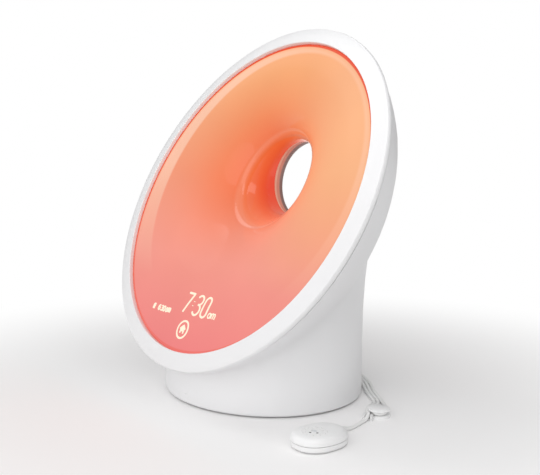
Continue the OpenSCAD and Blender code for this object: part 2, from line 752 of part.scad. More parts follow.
// The lead enters the sensor level, at its seam
entry = sensor_c + [-0.137 * sensor_w, 0.476 * sensor_l, 3.1];
entry_turn = 104;
entry_way = [cos(entry_turn), sin(entry_turn), 0];
module sensor_entry(r) {
    translate(entry) rotate([0, 90, entry_turn]) translate([0, 0, -6]) cylinder(r = r, h = 12, $fn = 32);
}
module sensor_grommet() {
    half_l = 2.6;
    color(white) translate(entry) rotate([0, 90, entry_turn]) difference() {
        translate([0, 0, -half_l]) cylinder(r = 1.8, h = 2 * half_l, $fn = 32);
        cylinder(r = lead_d / 2 + 0.2, h = half_l + 1, $fn = 32);
    }
}

// ---- Lead winder: two round plates on a hub, with two claws where the lead leaves ----
winder_c = [83.5, 16, 0];
winder_r = winder_d / 2;
hub_r = 2.5;
winder_low = 1.5;
winder_slot = lead_d + 0.3;
winder_top = 1.3;
claw_c = [82, 9.4, 0];
claw_turn = -51;
module winder_body() {
    inner = lead_d / 2 + gap;
    floor_t = 0.8;
    color(white) {
        translate(winder_c) {
            cylinder(r = winder_r, h = winder_low);
            cylinder(r = hub_r, h = winder_low + winder_slot, $fn = 48);
        }
        translate(claw_c) rotate([0, 0, claw_turn]) {
            translate([-3, -inner - 1.3, 0]) cube([6.4, 2 * (inner + 1.3), floor_t]);
            for (s = [-1, 1]) let (root = s > 0 ? 0.6 : -1.5)
                linear_extrude(winder_low + 0.6 * lead_d) polygon([
                    [root, s * inner], [4, s * inner], [5.6, s * (inner + 0.4)],
                    [6, s * (inner + 1)], [4.8, s * (inner + 1.6)], [root, s * (inner + 1.3)]]);
        }
    }
}
module winder_cap() {
    color(white) translate(winder_c + [0, 0, winder_low + winder_slot]) {
        cylinder(r = winder_r, h = winder_top * 0.6);
        translate([0, 0, winder_top * 0.6]) cylinder(r1 = winder_r, r2 = winder_r - 1, h = winder_top * 0.4);
    }
}

// ---- Sensor plug and lead ----
plug_size = [9.6, 5.6];
plug_l = 12;
relief_l = 5;
plug_end = [sensor_x, port_y + 0.1 + plug_l + relief_l, port_z];
module sensor_plug() {
    color(white) {
        translate([sensor_x - plug_size.x / 2, port_y + 0.1, port_z - plug_size.y / 2])
            cube([plug_size.x, plug_l, plug_size.y]);
        translate([sensor_x, port_y + 0.1 + plug_l, port_z]) rotate([-90, 0, 0])
            cylinder(r1 = 2.4, r2 = 1.5, h = relief_l, $fn = 32);
        slot(sensor_x, sensor_size - [1.2, 1.2], 4.5);
    }
}
// Route of the lead, by hand: out of its plug, along the base to the winder, round the hub,
// back to a fold behind the base, along again, and on between the claws to the sensor
lead_route = [
    plug_end, plug_end + [0, 2.4, 0], [-18.5, 71.5, 12.2], [-16, 75, 8], [-10, 75.4, 3.6],
    [-2, 72.6, 1.4], [8, 68, 1.1], [20, 63.8, 1.1], [34.2, 56.9, 1.1], [41.6, 52.2, 1.1],
    [51.2, 45, 1.1], [60.6, 39, 1.1], [69.8, 33.2, 1.1], [75.4, 29, 1.6], [79.4, 25.4, 2.6],
    [83, 22, 2.7], [86.2, 18.6, 2.7], [87.1, 16.9, 2.7], [87.1, 15, 2.7], [86.1, 13.3, 2.7],
    [84.4, 12.35, 2.7], [82.5, 12.4, 2.7], [80.8, 13.4, 2.7], [78.1, 16.3, 2.7],
    [75.2, 20.2, 2.6], [72.4, 25.4, 1.6], [68.3, 31.2, 1.1], [59.4, 37.1, 1.1],
    [49.9, 43.1, 1.1], [40.3, 50.3, 1.1], [33, 54.9, 1.1],
    [18, 61.3, 1.1], [3, 63.8, 1.1], [-12, 63.6, 1.1], [-24, 62, 1.1], [-33, 62.3, 1.1],
    [-40.5, 64.6, 1.1], [-47, 62.8, 1.1], [-49, 57.6, 1.1], [-45.4, 53, 1.1], [-38, 53.2, 1.1],
    [-26, 57.6, 1.1], [-11, 61, 1.1], [3, 61.4, 1.1], [17.4, 59, 1.1], [31.9, 52.9, 1.1],
    [38.9, 48.4, 1.1], [48.7, 41.2, 1.1], [58.2, 35.2, 1.1], [66.4, 29.8, 1.1],
    [70.4, 24.2, 1.6], [73.3, 18.8, 2.6], [76.4, 14.6, 2.7], [79, 11.7, 2.7],
    [81.9, 9.6, 2.65], [83.9, 7, 2.2], [85.2, 4.4, 1.5], [86.1, 1.6, 1.15], [87, -1.2, 1.1],
    [88, -4.4, 1.1], [89.2, -8.6, 1.1], [90, -12.6, 1.3], [90.6, -16.3, 2.4],
    entry + 5.4 * entry_way, entry + 2.7 * entry_way, entry];
lead_step = 6.2;
lead_sides = 8;
function lead_point(i) =
    let (p = lead_route, n = len(p) - 1)
        i < 0 ? 2 * p[0] - p[1] : (i > n ? 2 * p[n] - p[n - 1] : p[i]);
function spline(i, t) =
    let (a = lead_point(i - 1), b = lead_point(i), c = lead_point(i + 1), d = lead_point(i + 2))
        0.5 * (2 * b + (c - a) * t + (2 * a - 5 * b + 4 * c - d) * pow(t, 2)
            + (3 * b - a - 3 * c + d) * pow(t, 3));
lead_line = concat(
    [for (i = [0 : len(lead_route) - 2])
        let (n = max(1, round(norm(lead_route[i + 1] - lead_route[i]) / lead_step)))
            for (k = [0 : n - 1]) spline(i, k / n)],
    [lead_route[len(lead_route) - 1]]);
module lead_tube(line, r) {
    last = len(line) - 1;
    rings = [for (i = [0 : last])
        let (ahead = line[min(i + 1, last)] - line[max(i - 1, 0)],
            side = cross(ahead, [0, 0, 1]) / norm(cross(ahead, [0, 0, 1])),
            up = cross(side, ahead) / norm(ahead))
        for (k = [0 : lead_sides - 1])
            let (a = 360 * (k + 0.5) / lead_sides) line[i] + r * (cos(a) * side + sin(a) * up)];
    polyhedron(
        points = rings,
        faces = concat(
            [for (i = [0 : last - 1], k = [0 : lead_sides - 1])
                let (a = i * lead_sides, b = a + lead_sides, m = (k + 1) % lead_sides)
                    each [[a + k, a + m, b + m], [a + k, b + m, b + k]]],
            [[for (k = [lead_sides - 1 : -1 : 0]) k]],
            [[for (k = [0 : lead_sides - 1]) last * lead_sides + k]]),
        convexity = 10);
}
module sensor_lead() {
    color([0.88, 0.88, 0.87]) lead_tube(lead_line, lead_d / 2);
}

rear_housing();
front_ring();
light_diffuser();
throat_seal();
reflector_tray();
led_board();
led_chips();
heat_spreader();
led_screws();
display_board();
display_mask();
touch_foil();
main_board();
main_components();
wireless_module();
board_screws();
display_cable();
dc_socket();
usb_socket();
aux_socket();
sensor_socket();
port_panel();
panel_screws();
speaker_frame();
speaker_magnet();
speaker_yoke();
speaker_cone();
voice_coil();
speaker_surround();
speaker_gasket();
speaker_grille();
speaker_screws();
base_plate();
foot_pad();
base_screws();
sensor_top_shell();
sensor_bottom_shell();
sensor_board();
sensor_foot();
sensor_lens();
sensor_grommet();
winder_body();
winder_cap();
sensor_lead();
sensor_plug();
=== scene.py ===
import math

import bpy
from bpy.props import FloatProperty, FloatVectorProperty, PointerProperty
from mathutils import Matrix, Vector


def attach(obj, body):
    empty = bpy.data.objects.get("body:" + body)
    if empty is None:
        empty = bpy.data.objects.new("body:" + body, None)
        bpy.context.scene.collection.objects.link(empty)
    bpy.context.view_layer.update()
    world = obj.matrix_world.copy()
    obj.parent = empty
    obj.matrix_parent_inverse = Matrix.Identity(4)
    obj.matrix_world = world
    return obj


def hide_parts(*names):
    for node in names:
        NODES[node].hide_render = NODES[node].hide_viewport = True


bl_info = {
    "name": "Sunrise alarm clock",
    "version": (1, 0, 0),
    "blender": (4, 5, 0),
    "location": "View3D > Sidebar > Clock",
    "description": "Dresses the sunrise alarm clock: glowing disc, white housing, room sensor and lead",
    "category": "Object",
}

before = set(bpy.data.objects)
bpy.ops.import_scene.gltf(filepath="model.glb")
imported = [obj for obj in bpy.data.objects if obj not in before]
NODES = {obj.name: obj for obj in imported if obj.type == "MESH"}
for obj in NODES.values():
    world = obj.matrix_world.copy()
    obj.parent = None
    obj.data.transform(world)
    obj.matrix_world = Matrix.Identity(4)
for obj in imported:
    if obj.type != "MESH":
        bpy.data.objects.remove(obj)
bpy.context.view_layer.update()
MM = 0.001

# Places of the parts, in millimetres, as the CAD source has them
DISC_R = 110.0
DISC_TILT = math.radians(27.5)
DISC_Y = -18.5
DISC_FOOT_Z = 23.6
HOLE_TILT = math.radians(10.0)
HOLE_RISE = 27.0
HOLE_DEPTH = 39.0
NECK_R = 24.4
NECK_L = 7.0
PINHOLES = ((96.20, -45.07), (98.84, -42.73))
PINHOLE_R = 0.56
DISC_C = Vector((0.0, DISC_Y, DISC_FOOT_Z + DISC_R * math.cos(DISC_TILT))) * MM
UP_DISC = Vector((0.0, math.sin(DISC_TILT), math.cos(DISC_TILT)))
OUT_DISC = Vector((0.0, -math.cos(DISC_TILT), math.sin(DISC_TILT)))
HOLE_C = DISC_C + (HOLE_RISE * UP_DISC - HOLE_DEPTH * OUT_DISC) * MM
DISC_FRAME = Matrix.Translation(DISC_C) @ Matrix.Rotation(math.pi / 2 - DISC_TILT, 4, "X")

# The photograph's camera, fitted to the disc, its hole and the base, and the point that it and the lamps face
CAMERA_AZIMUTH = math.radians(52.16)
CAMERA_ELEVATION = math.radians(5.77)
CAMERA_DISTANCE = 0.5
CAMERA_LENS = 55.10
CAMERA_SHIFT = (0.01387, -0.02315)
TARGET = Vector((0.0, 0.0, 0.1))

# How far from the clock, in metres, the paper under it starts to turn plain white, and where it is white
PAPER_NEAR = 0.1
PAPER_FAR = 0.34

# The large soft lamps: name, place in metres, width, and share of the key light's power
SOFTBOXES = (
    ("key_softbox", (0.85, -1.35, 0.75), 1.9, 1.0),
    ("top_softbox", (-0.9, -0.45, 1.1), 0.7, 0.22),
)

# The lead's route: out of its plug, along the base to the winder, round the hub, back to a
# fold behind the base, along again, and on through the claws to the sensor
LEAD_D = 2.1
LEAD_ROUTE = [
    (-18.985, 65.1, 14), (-18.985, 67.5, 14), (-18.5, 71.5, 12.2), (-16, 75, 8), (-10, 75.4, 3.6),
    (-2, 72.6, 1.4), (8, 68, 1.1), (20, 63.8, 1.1), (34.2, 56.9, 1.1), (41.6, 52.2, 1.1),
    (51.2, 45, 1.1), (60.6, 39, 1.1), (69.8, 33.2, 1.1), (75.4, 29, 1.6), (79.4, 25.4, 2.6),
    (83, 22, 2.7), (86.2, 18.6, 2.7), (87.1, 16.9, 2.7), (87.1, 15, 2.7), (86.1, 13.3, 2.7),
    (84.4, 12.35, 2.7), (82.5, 12.4, 2.7), (80.8, 13.4, 2.7), (78.1, 16.3, 2.7), (75.2, 20.2, 2.6),
    (72.4, 25.4, 1.6), (68.3, 31.2, 1.1), (59.4, 37.1, 1.1), (49.9, 43.1, 1.1), (40.3, 50.3, 1.1),
    (33, 54.9, 1.1), (18, 61.3, 1.1), (3, 63.8, 1.1), (-12, 63.6, 1.1), (-24, 62, 1.1),
    (-33, 62.3, 1.1), (-40.5, 64.6, 1.1), (-47, 62.8, 1.1), (-49, 57.6, 1.1), (-45.4, 53, 1.1),
    (-38, 53.2, 1.1), (-26, 57.6, 1.1), (-11, 61, 1.1), (3, 61.4, 1.1), (17.4, 59, 1.1),
    (31.9, 52.9, 1.1), (38.9, 48.4, 1.1), (48.7, 41.2, 1.1), (58.2, 35.2, 1.1), (66.4, 29.8, 1.1),
    (70.4, 24.2, 1.6), (73.3, 18.8, 2.6), (76.4, 14.6, 2.7), (79, 11.7, 2.7), (81.9, 9.6, 2.65),
    (83.9, 7, 2.2), (85.2, 4.4, 1.5), (86.1, 1.6, 1.15), (87, -1.2, 1.1), (88, -4.4, 1.1),
    (89.2, -8.6, 1.1), (90, -12.6, 1.3), (90.6, -16.3, 2.4), (91.056, -19.176, 3.1),
    (91.709, -21.795, 3.1), (92.362, -24.415, 3.1),
]


# ---- Small helpers ----
def linear(code):
    """An sRGB hex value such as "#F2EFEA" as linear RGBA."""
    values = [int(code[i : i + 2], 16) / 255 for i in (1, 3, 5)]
    return [v / 12.92 if v <= 0.04045 else ((v + 0.055) / 1.055) ** 2.4 for v in values] + [1.0]


def node(tree, kind, inputs=None, **settings):
    """Adds a node, sets it up, and links or fills its inputs."""
    made = tree.nodes.new(kind)
    for name, value in settings.items():
        setattr(made, name, value)
    for name, value in (inputs or {}).items():
        if isinstance(value, bpy.types.NodeSocket):
            tree.links.new(value, made.inputs[name])
        else:
            made.inputs[name].default_value = value
    return made


def new_material(name):
    """An empty material by that name, and its node tree."""
    material = bpy.data.materials.new(name)
    material.use_nodes = True
    material.node_tree.nodes.clear()
    return material, material.node_tree


def shade(colour, factor):
    """A colour made darker or lighter."""
    return [min(1, c * factor) for c in colour[:3]] + [1]


def fill_ramp(ramp, stops):
    """Sets a colour ramp's stops: each a position from 0 to 1 and a colour."""
    elements = ramp.color_ramp.elements
    while len(elements) < len(stops):
        elements.new(0.5)
    for element, (position, colour) in zip(elements, stops):
        element.position = position
        element.color = (*colour, 1)


def paint(material, *names):
    """Gives CAD nodes a material."""
    for name in names:
        NODES[name].data.materials.clear()
        NODES[name].data.materials.append(material)


def deselect():
    if bpy.context.object and bpy.context.object.mode != "OBJECT":
        bpy.ops.object.mode_set(mode="OBJECT")
    bpy.ops.object.select_all(action="DESELECT")


def activate(obj):
    deselect()
    obj.select_set(True)
    bpy.context.view_layer.objects.active = obj


def apply_modifiers(obj):
    activate(obj)
    for modifier in list(obj.modifiers):
        bpy.ops.object.modifier_apply(modifier=modifier.name)


def smooth(obj, degrees):
    activate(obj)
    bpy.ops.object.shade_smooth_by_angle(angle=math.radians(degrees))


def dressed(name, piece_name, material, body="clock", angle=32, bevel=0.0):
    """A CAD node's merged and smoothly shaded copy, which stands for the node. The bevel is in metres."""
    piece = bpy.data.objects.new(piece_name, NODES[name].data.copy())
    bpy.context.scene.collection.objects.link(piece)
    activate(piece)
    bpy.ops.object.mode_set(mode="EDIT")
    bpy.ops.mesh.select_all(action="SELECT")
    bpy.ops.mesh.remove_doubles(threshold=0.004 * MM)
    bpy.ops.mesh.normals_make_consistent(inside=False)
    bpy.ops.mesh.customdata_custom_splitnormals_clear()
    bpy.ops.object.mode_set(mode="OBJECT")
    if bevel:
        edge = piece.modifiers.new("edge", "BEVEL")
        edge.width = bevel
        edge.segments = 3
        edge.limit_method = "ANGLE"
        edge.angle_limit = math.radians(40)
        apply_modifiers(piece)
    smooth(piece, angle)
    piece.data.materials.clear()
    piece.data.materials.append(material)
    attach(piece, body)
    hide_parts(name)
    return piece


# ---- Materials: the patterns' sizes as they are drawn, in millimetres ----
PIT_SPACING = 0.6
FLOW_MARK = 45.0
DIFFUSER_CLOUD = 60.0
DIGIT_GRAIN = 2.0
RUBBER_SKIN = 0.8
SLEEVE_SKIN = 1.2
PRESS_MARKS = 0.5
BOARD_WEAVE = 0.6
PAPER_FIBRE = 1.1


def moulded_abs(name, colour, roughness=0.42, depth=0.02):
    """ABS from a spark-eroded mould: an even satin skin whose fine pits soften every highlight.
    The real pits are about 0.1 mm apart; they are drawn at 0.6 mm so that the render shows them."""
    material, tree = new_material(name)
    place = node(tree, "ShaderNodeTexCoord").outputs["Object"]
    pits = node(tree, "ShaderNodeTexNoise", {"Vector": place, "Scale": 1 / (PIT_SPACING * MM), "Detail": 2.0})
    cloud = node(tree, "ShaderNodeTexNoise", {"Vector": place, "Scale": 1 / (FLOW_MARK * MM), "Detail": 3.0})
    # The shot plastic's colour varies by a grey level or two of 255, and its gloss by a few per cent
    tone = node(tree, "ShaderNodeMixRGB", {"Fac": cloud.outputs["Fac"], "Color1": shade(colour, 0.985),
        "Color2": colour})
    gloss = node(tree, "ShaderNodeMapRange", {"Value": cloud.outputs["Fac"], "From Min": 0.3,
        "From Max": 0.7, "To Min": roughness - 0.03, "To Max": roughness + 0.03})
    bump = node(tree, "ShaderNodeBump", {"Height": pits.outputs["Fac"], "Strength": 0.1,
        "Distance": depth * MM})
    surface = node(tree, "ShaderNodeBsdfPrincipled", {"Base Color": tone.outputs[0],
        "Roughness": gloss.outputs[0], "IOR": 1.5, "Normal": bump.outputs[0]})
    node(tree, "ShaderNodeOutputMaterial", {"Surface": surface.outputs[0]})
    return material


def paint_neck_glow_and_shade(material, finish):
    """Paints glow and shade on the short neck behind the throat: painted light of the diffuser's glow,
    carried a few millimetres on, salmon beside the diffuser, dying away to a dull brown painted shade at
    the neck's end."""
    tree = material.node_tree
    skin = next(n for n in tree.nodes if n.type == "BSDF_PRINCIPLED")
    place = node(tree, "ShaderNodeTexCoord").outputs["Object"]
    hole = node(tree, "ShaderNodeMapping", {"Vector": place, "Location": HOLE_C,
        "Rotation": (math.pi / 2 - HOLE_TILT, 0, 0), "Scale": (MM,) * 3}, vector_type="TEXTURE")
    axes = node(tree, "ShaderNodeSeparateXYZ", {"Vector": hole.outputs[0]})
    flat = node(tree, "ShaderNodeCombineXYZ", {"X": axes.outputs["X"], "Y": axes.outputs["Y"]})
    radius = node(tree, "ShaderNodeVectorMath", {0: flat.outputs[0]}, operation="LENGTH")
    near = node(tree, "ShaderNodeMapRange", {"Value": radius.outputs["Value"], "From Min": NECK_R + 0.3,
        "From Max": NECK_R + 2.5, "To Min": 1.0, "To Max": 0.0})
    depth = node(tree, "ShaderNodeMapRange", {"Value": axes.outputs["Z"], "From Min": 0.0,
        "From Max": -NECK_L})
    # Painted glow beside the diffuser, dying away to painted shade at the neck's end
    neck_painted_light = node(tree, "ShaderNodeValToRGB", {"Fac": depth.outputs[0]})
    fill_ramp(neck_painted_light, ((0.0, finish.pale_painted_light), (0.3, finish.pale_painted_light), (0.38, finish.neck_painted_glow),
        (0.62, finish.neck_painted_glow), (0.76, finish.neck_painted_shade), (1.0, finish.neck_painted_shade)))
    tone = node(tree, "ShaderNodeMixRGB", {"Fac": near.outputs[0],
        "Color1": skin.inputs["Base Color"].links[0].from_socket, "Color2": neck_painted_light.outputs[0]})
    tree.links.new(tone.outputs[0], skin.inputs["Base Color"])


def paint_pinhole_shade(material):
    """Paints shade into the bores of the two pinholes beside the sensor's lens: dark grey where hardly any
    light gets out.
    """
    tree = material.node_tree
    skin = next(n for n in tree.nodes if n.type == "BSDF_PRINCIPLED")
    place = node(tree, "ShaderNodeTexCoord").outputs["Object"]
    axes = node(tree, "ShaderNodeSeparateXYZ", {"Vector": place})
    flat = node(tree, "ShaderNodeCombineXYZ", {"X": axes.outputs["X"], "Y": axes.outputs["Y"]})
    tone = skin.inputs["Base Color"].links[0].from_socket
    for hole in PINHOLES:
        away = node(tree, "ShaderNodeVectorMath", {0: flat.outputs[0], 1: (hole[0] * MM, hole[1] * MM, 0)},
            operation="DISTANCE")
        near = node(tree, "ShaderNodeMapRange", {"Value": away.outputs["Value"], "From Min": PINHOLE_R * MM,
            "From Max": 1.25 * PINHOLE_R * MM, "To Min": 1.0, "To Max": 0.0})
        # Painted shade: the bore is dark grey
        tone = node(tree, "ShaderNodeMixRGB", {"Fac": near.outputs[0], "Color1": tone,
            "Color2": linear("#2E2E30")}).outputs[0]
    tree.links.new(tone, skin.inputs["Base Color"])


def opal_polycarbonate(name, finish):
    """Opal polycarbonate with light behind it: peach at the top, coral pink at the foot, deep orange in the
    throat. Painted light makes the right side paler, painted shade deepens the hole's left side, and a
    painted highlight lies as a pale band on the shoulder. Its polished throat takes crisp highlights."""
    material, tree = new_material(name)
    place = node(tree, "ShaderNodeTexCoord").outputs["Object"]
    # In the disc's own frame, in disc radii: x across, y up the disc, z out of its face
    disc = node(tree, "ShaderNodeMapping", {"Vector": place, "Location": DISC_C,
        "Rotation": (math.pi / 2 - DISC_TILT, 0, 0), "Scale": (DISC_R * MM,) * 3}, vector_type="TEXTURE")
    axes = node(tree, "ShaderNodeSeparateXYZ", {"Vector": disc.outputs[0]})
    x, y, z = axes.outputs
    flat = node(tree, "ShaderNodeCombineXYZ", {"X": x, "Y": y}).outputs[0]
    radius = node(tree, "ShaderNodeVectorMath", {0: flat}, operation="LENGTH").outputs["Value"]
    # The inner edge of the shoulder's painted highlight band is a circle a little to the right of the disc's
    # centre and above it
    aside = node(tree, "ShaderNodeVectorMath", {0: flat, 1: (0.04, 0.05, 0)},
        operation="DISTANCE").outputs["Value"]
    # How far a point lies round to the hole's left, from -1 to 1: the deep colours' painted shade and the
    # lip's painted highlight gather there
    from_hole = node(tree, "ShaderNodeVectorMath", {0: flat, 1: (0, HOLE_RISE / DISC_R, 0)},
        operation="SUBTRACT")
    way = node(tree, "ShaderNodeVectorMath", {0: from_hole.outputs[0]}, operation="NORMALIZE")
    left = node(tree, "ShaderNodeVectorMath", {0: way.outputs[0], 1: (-0.95, 0.3, 0)},
        operation="DOT_PRODUCT").outputs["Value"]
    # A rounded lip rings the throat about 22 mm down
    lip_top = node(tree, "ShaderNodeMapRange", {"Value": z, "From Min": -0.172, "From Max": -0.192},
        interpolation_type="SMOOTHSTEP")
    lip_foot = node(tree, "ShaderNodeMapRange", {"Value": z, "From Min": -0.2, "From Max": -0.23,
        "To Min": 1.0, "To Max": 0.0}, interpolation_type="SMOOTHSTEP")
    lip = node(tree, "ShaderNodeMath", {0: lip_top.outputs[0], 1: lip_foot.outputs[0]},
        operation="MULTIPLY").outputs[0]
    ridge = node(tree, "ShaderNodeBump", {"Height": lip, "Strength": 1.0, "Distance": 0.9 * MM}).outputs[0]

    height = node(tree, "ShaderNodeMapRange", {"Value": y, "From Min": -0.88, "From Max": 0.75})
    ramp = node(tree, "ShaderNodeValToRGB", {"Fac": height.outputs[0]})
    fill_ramp(ramp, ((0.0, finish.glow_foot), (0.3, finish.glow_low), (0.62, finish.glow_mid),
        (1.0, finish.glow_top)))
    # Layers of light over that ramp. Each has its colour, its strength, and the ranges whose product is
    # its share: a value, where it starts, where it ends, and the shares there
    layers = (
        # Painted light: the right side faces the brightest lamps behind it, and is painted paler and yellower
        (finish.side_painted_light, 1.0, ((x, 0.1, 0.7, 0, 1, "SMOOTHSTEP"), (y, -0.5, 0.15, 0, 1, "LINEAR"))),
        # Deeper down the funnel the light comes through more plastic, and turns from peach to orange; these
        # deep colours are held to the hole's left side, where they are painted shade
        (finish.funnel_glow_and_painted_shade, 1.0, ((z, -0.012, -0.2, 0, 1, "LINEAR"), (left, -0.95, 0.8, 0, 1, "LINEAR"))),
        (finish.throat_glow_and_painted_shade, 1.0, ((z, -0.22, -0.34, 0, 1, "LINEAR"), (left, -0.95, 0.8, 0, 1, "LINEAR"))),
        # Painted highlight: a paler line round the lip, on the hole's left side
        (finish.pale_painted_light, 0.13, ((lip, 0, 1, 0, 1, "LINEAR"), (left, -0.95, 0.8, 0, 1, "LINEAR"))),
        # Painted highlight: a paler band on the flat shoulder inside the rim, stronger on the left, that
        # fades out at the foot
        (finish.pale_painted_light, 1.0, ((aside, 0.79, 0.806, 0, 1, "LINEAR"), (radius, 0.87, 0.9, 1, 0, "LINEAR"),
            (y, -0.55, 0.15, 0, 1, "LINEAR"), (x, 0.5, -0.5, 0.3, 0.7, "LINEAR"))),
        # A thin deep line runs round the edge, where the plastic ends
        (finish.glow_rim, 1.0, ((radius, 0.887, 0.892, 0, 1, "LINEAR"), (y, -0.9, 0, 0.35, 1, "LINEAR"))),
    )
    glow = ramp.outputs[0]
    for colour, share, ranges in layers:
        for value, start, end, share_at_start, share_at_end, curve in ranges:
            part = node(tree, "ShaderNodeMapRange", {"Value": value, "From Min": start, "From Max": end,
                "To Min": share_at_start, "To Max": share_at_end}, interpolation_type=curve)
            share = node(tree, "ShaderNodeMath", {0: part.outputs[0], 1: share},
                operation="MULTIPLY").outputs[0]
        glow = node(tree, "ShaderNodeMixRGB", {"Fac": share, "Color1": glow,
            "Color2": (*colour, 1)}).outputs[0]

    # Flow marks in the moulding: broad, faint changes of brightness
    cloud = node(tree, "ShaderNodeTexNoise", {"Vector": place, "Scale": 1 / (DIFFUSER_CLOUD * MM),
        "Detail": 2.0})
    veil = node(tree, "ShaderNodeMapRange", {"Value": cloud.outputs["Fac"], "From Min": 0.3,
        "From Max": 0.7, "To Min": 0.97, "To Max": 1.03})
    tint = node(tree, "ShaderNodeVectorMath", {0: glow, "Scale": veil.outputs[0]},
        operation="SCALE").outputs[0]
    # The face is fine satin, and the throat is polished
    polish = node(tree, "ShaderNodeMapRange", {"Value": z, "From Min": -0.1, "From Max": -0.17,
        "To Min": 0.06, "To Max": 0.7})
    # The opal body gives back a quarter of its colour from the room's light; the rest is the glow
    body = node(tree, "ShaderNodeVectorMath", {0: tint, "Scale": 0.25}, operation="SCALE")
    surface = node(tree, "ShaderNodeBsdfPrincipled", {"Base Color": body.outputs[0], "Roughness": 0.42,
        "IOR": 1.585, "Emission Color": tint, "Emission Strength": finish.glow_strength,
        "Specular IOR Level": 0.2, "Coat Weight": polish.outputs[0], "Coat Roughness": 0.05,
        "Normal": ridge, "Coat Normal": ridge})
    node(tree, "ShaderNodeOutputMaterial", {"Surface": surface.outputs[0]})
    return material


def lit_glyph(name, colour):
    """Display segments seen through the diffuser: a plain cream light."""
    material, tree = new_material(name)
    place = node(tree, "ShaderNodeTexCoord").outputs["Object"]
    grain = node(tree, "ShaderNodeTexNoise", {"Vector": place, "Scale": 1 / (DIGIT_GRAIN * MM),
        "Detail": 1.0})
    tone = node(tree, "ShaderNodeMixRGB", {"Fac": grain.outputs["Fac"], "Color1": shade(colour, 0.97),
        "Color2": colour})
    surface = node(tree, "ShaderNodeBsdfPrincipled", {"Base Color": linear("#272727"), "Roughness": 0.5,
        "IOR": 1.5, "Emission Color": tone.outputs[0], "Emission Strength": 1.0})
    node(tree, "ShaderNodeOutputMaterial", {"Surface": surface.outputs[0]})
    return material


def soft_rubber(name, colour, roughness=0.75):
    """Moulded rubber, foam, gel or sintered ferrite: matt, with a fine uneven skin that kills highlights."""
    material, tree = new_material(name)
    place = node(tree, "ShaderNodeTexCoord").outputs["Object"]
    skin = node(tree, "ShaderNodeTexNoise", {"Vector": place, "Scale": 1 / (RUBBER_SKIN * MM), "Detail": 4.0})
    tone = node(tree, "ShaderNodeMixRGB", {"Fac": skin.outputs["Fac"], "Color1": shade(colour, 0.9),
        "Color2": colour})
    bump = node(tree, "ShaderNodeBump", {"Height": skin.outputs["Fac"], "Strength": 0.3,
        "Distance": 0.05 * MM})
    surface = node(tree, "ShaderNodeBsdfPrincipled", {"Base Color": tone.outputs[0],
        "Roughness": roughness, "IOR": 1.5, "Normal": bump.outputs[0]})
    node(tree, "ShaderNodeOutputMaterial", {"Surface": surface.outputs[0]})
    return material


def pvc_sleeve(name, colour):
    """Extruded PVC sleeve of a lead: semi-matt, with the faint unevenness that the die leaves."""
    material, tree = new_material(name)
    place = node(tree, "ShaderNodeTexCoord").outputs["Object"]
    skin = node(tree, "ShaderNodeTexNoise", {"Vector": place, "Scale": 1 / (SLEEVE_SKIN * MM),
        "Detail": 3.0})
    tone = node(tree, "ShaderNodeMixRGB", {"Fac": skin.outputs["Fac"], "Color1": shade(colour, 0.96),
        "Color2": colour})
    bump = node(tree, "ShaderNodeBump", {"Height": skin.outputs["Fac"], "Strength": 0.15,
        "Distance": 0.03 * MM})
    surface = node(tree, "ShaderNodeBsdfPrincipled", {"Base Color": tone.outputs[0], "Roughness": 0.45,
        "IOR": 1.53, "Normal": bump.outputs[0]})
    node(tree, "ShaderNodeOutputMaterial", {"Surface": surface.outputs[0]})
    return material


def plated_metal(name, colour, roughness):
    """Plated steel, drawn copper or rolled aluminium: bright, with the fine marks that the press, the die
    or the rolls leave in its gloss."""
    material, tree = new_material(name)
    place = node(tree, "ShaderNodeTexCoord").outputs["Object"]
    marks = node(tree, "ShaderNodeTexNoise", {"Vector": place, "Scale": 1 / (PRESS_MARKS * MM),
        "Detail": 4.0})
    gloss = node(tree, "ShaderNodeMapRange", {"Value": marks.outputs["Fac"], "To Min": roughness - 0.06,
        "To Max": roughness + 0.08})
    surface = node(tree, "ShaderNodeBsdfPrincipled", {"Base Color": colour, "Metallic": 1.0,
        "Roughness": gloss.outputs[0]})
    node(tree, "ShaderNodeOutputMaterial", {"Surface": surface.outputs[0]})
    return material


def solder_mask(name, colour):
    """Glass-fibre board under solder mask: glossy, with the weave showing faintly at 0.6 mm."""
    material, tree = new_material(name)
    place = node(tree, "ShaderNodeTexCoord").outputs["Object"]
    weave = node(tree, "ShaderNodeTexChecker", {"Vector": place, "Scale": 1 / (BOARD_WEAVE * MM),
        "Color1": colour, "Color2": shade(colour, 0.85)})
    surface = node(tree, "ShaderNodeBsdfPrincipled", {"Base Color": weave.outputs[0], "Roughness": 0.3,
        "IOR": 1.5})
    node(tree, "ShaderNodeOutputMaterial", {"Surface": surface.outputs[0]})
    return material


def paper_cone(name, colour):
    """Pressed paper pulp of the loudspeaker's cone: matt, flecked with short fibres."""
    material, tree = new_material(name)
    place = node(tree, "ShaderNodeTexCoord").outputs["Object"]
    fibre = node(tree, "ShaderNodeTexVoronoi", {"Vector": place, "Scale": 1 / (PAPER_FIBRE * MM)})
    tone = node(tree, "ShaderNodeMixRGB", {"Fac": fibre.outputs["Distance"], "Color1": colour,
        "Color2": shade(colour, 1.6)})
    bump = node(tree, "ShaderNodeBump", {"Height": fibre.outputs["Distance"], "Strength": 0.4,
        "Distance": 0.1 * MM})
    surface = node(tree, "ShaderNodeBsdfPrincipled", {"Base Color": tone.outputs[0], "Roughness": 0.85,
        "IOR": 1.45, "Normal": bump.outputs[0]})
    node(tree, "ShaderNodeOutputMaterial", {"Surface": surface.outputs[0]})
    return material


